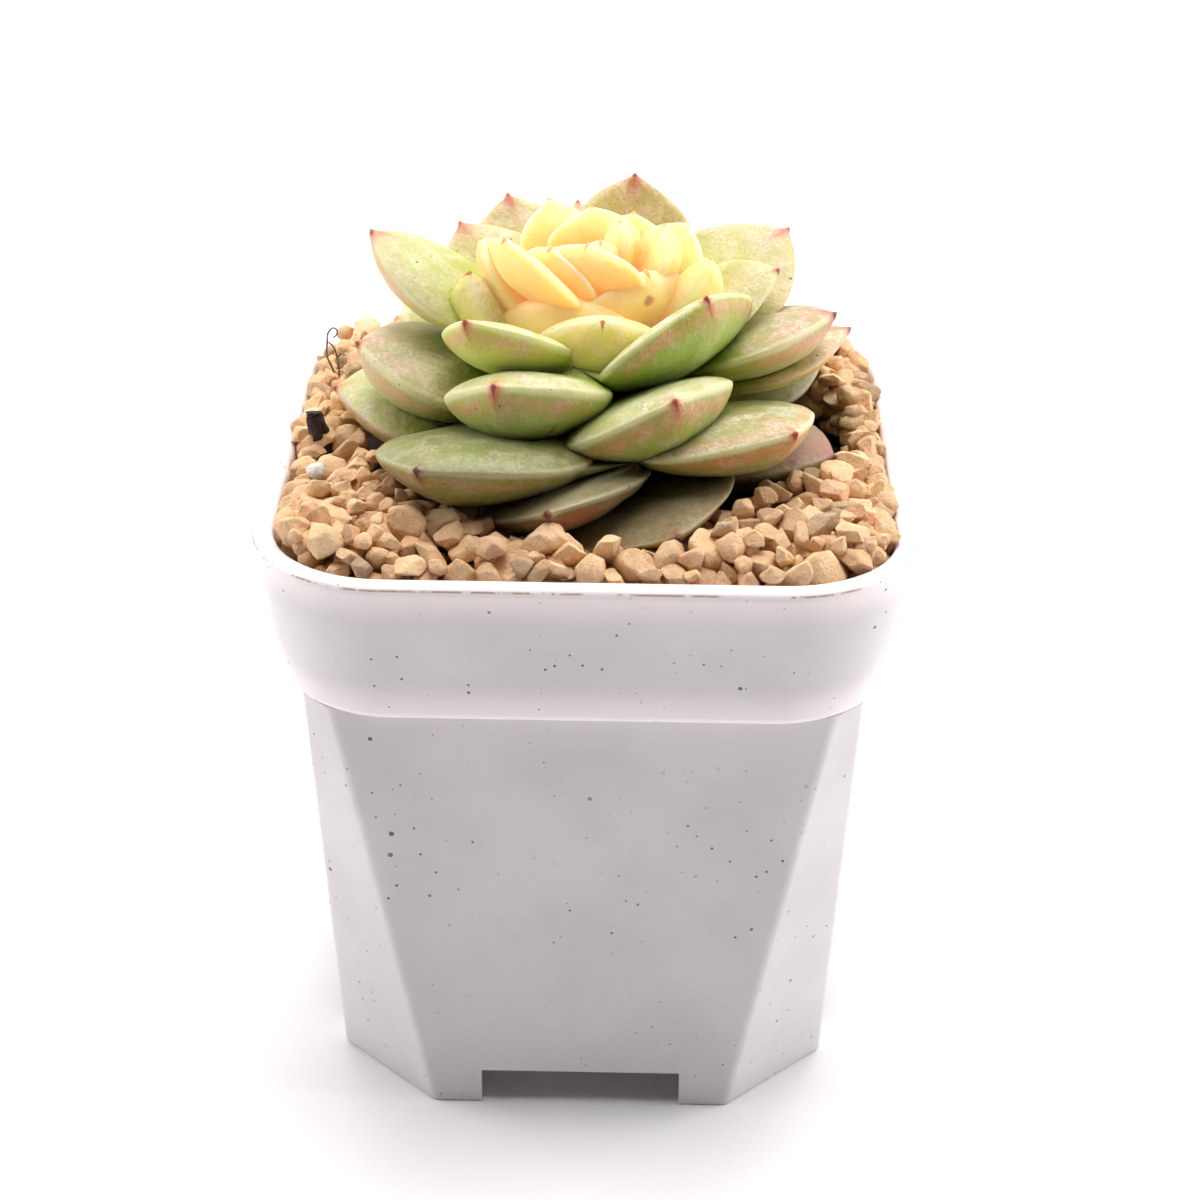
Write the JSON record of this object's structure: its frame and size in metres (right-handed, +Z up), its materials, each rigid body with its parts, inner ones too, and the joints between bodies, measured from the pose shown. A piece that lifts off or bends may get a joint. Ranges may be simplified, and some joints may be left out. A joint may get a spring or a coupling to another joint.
{
  "type": "potted succulent",
  "caption": "Rosette succulent with thick pointed leaves and a pale yellow heart, in soil and tan gravel in a small square tapered pot with a tall rounded rim.",
  "frame": {"origin": "centre of the pot's footprint, on the surface that it stands on", "axes": "+Z up, -Y the front, +X to the right seen from the front"},
  "size_m": [0.0696, 0.0696, 0.0956],
  "materials": {
    "white_pot": "satin white polypropylene, slightly translucent, with specks of dried dirt",
    "dark_soil": "moist dark peat soil, crumbly",
    "tan_gravel": "dry, dusty tan clay granules",
    "stem": "dull, corky",
    "old_leaf": "olive to grey-brown skin with a worn whitish bloom",
    "green_leaf": "pale green skin with a whitish bloom and pink-red tip, satin",
    "heart_leaf": "translucent pale yellow, orange at the base, satin",
    "bark": "rough dark bark",
    "rootlet": "dry, wiry, dull",
    "perlite": "chalky white"
  },
  "bodies": {
    "root": {"pot": "white_pot", "soil": "dark_soil", "gravel_bed": "tan_gravel", "stem": "stem", "leaf_01": "old_leaf", "leaf_02": "old_leaf", "leaf_03": "old_leaf", "leaf_04": "old_leaf", "leaf_05": "old_leaf", "leaf_06": "old_leaf", "leaf_07": "old_leaf", "leaf_08": "green_leaf", "leaf_09": "green_leaf", "leaf_10": "green_leaf", "leaf_11": "green_leaf", "leaf_12": "green_leaf", "leaf_13": "green_leaf", "leaf_14": "green_leaf", "leaf_15": "green_leaf", "leaf_16": "green_leaf", "leaf_17": "green_leaf", "leaf_18": "green_leaf", "leaf_19": "green_leaf", "leaf_20": "green_leaf", "leaf_21": "green_leaf", "leaf_22": "green_leaf", "leaf_23": "green_leaf", "leaf_24": "green_leaf", "leaf_25": "green_leaf", "leaf_26": "green_leaf", "leaf_27": "green_leaf", "leaf_28": "heart_leaf", "leaf_29": "heart_leaf", "leaf_30": "heart_leaf", "leaf_31": "heart_leaf", "leaf_32": "heart_leaf", "leaf_33": "heart_leaf", "leaf_34": "heart_leaf", "leaf_35": "heart_leaf", "leaf_36": "heart_leaf", "leaf_37": "heart_leaf", "leaf_38": "heart_leaf", "leaf_39": "heart_leaf", "leaf_40": "heart_leaf", "leaf_41": "heart_leaf", "leaf_42": "heart_leaf", "leaf_43": "heart_leaf", "leaf_44": "heart_leaf", "leaf_45": "heart_leaf", "bark_twig": "bark", "dry_rootlet": "rootlet", "perlite_bead": "perlite"}
  },
  "joints": []
}
